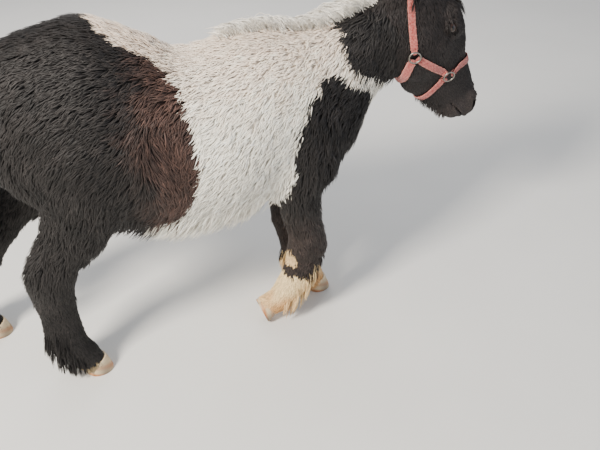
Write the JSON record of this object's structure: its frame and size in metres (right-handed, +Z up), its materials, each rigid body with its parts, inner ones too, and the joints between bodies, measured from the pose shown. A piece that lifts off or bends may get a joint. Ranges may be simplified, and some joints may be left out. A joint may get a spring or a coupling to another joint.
{
  "type": "shetland pony",
  "caption": "Life-size still model of a Shetland pony walking in its long winter coat, piebald with a pale mane, wearing a plain webbing halter.",
  "frame": {"origin": "on the floor, under the middle of the pony's box", "axes": "+X towards the pony's nose, +Y to the pony's left, +Z up"},
  "size_m": [1.5732, 0.4624, 1.0179],
  "materials": {
    "white_coat": "long soft winter coat, cream-white with dark patches",
    "black_coat": "long soft winter coat, warm brown-black",
    "hoof_horn": "pale ridged horn with mud at the sole",
    "eye": "wet and dark, with a wide pupil",
    "webbing": "faded coral-red woven webbing, frayed at its edges",
    "ring_metal": "plain worn steel"
  },
  "bodies": {
    "root": {"torso": "white_coat", "neck": "white_coat", "head": "black_coat", "eye_left": "eye", "eye_right": "eye", "ear_left": "black_coat", "ear_right": "black_coat", "hind_right_upper": "black_coat", "hind_right_lower": "black_coat", "hind_right_hoof": "hoof_horn", "hind_left_upper": "black_coat", "hind_left_lower": "black_coat", "hind_left_hoof": "hoof_horn", "fore_right_upper": "black_coat", "fore_right_lower": "black_coat", "fore_right_hoof": "hoof_horn", "fore_left_upper": "black_coat", "fore_left_lower": "black_coat", "fore_left_hoof": "hoof_horn", "tail": "black_coat", "halter_crown": "webbing", "halter_nose": "webbing", "halter_chin": "webbing", "halter_throat": "webbing", "halter_cheek_left": "webbing", "halter_ring_cheek_left": "ring_metal", "halter_ring_nose_left": "ring_metal", "halter_cheek_right": "webbing", "halter_ring_cheek_right": "ring_metal", "halter_ring_nose_right": "ring_metal", "halter_buckle": "ring_metal"}
  },
  "joints": []
}
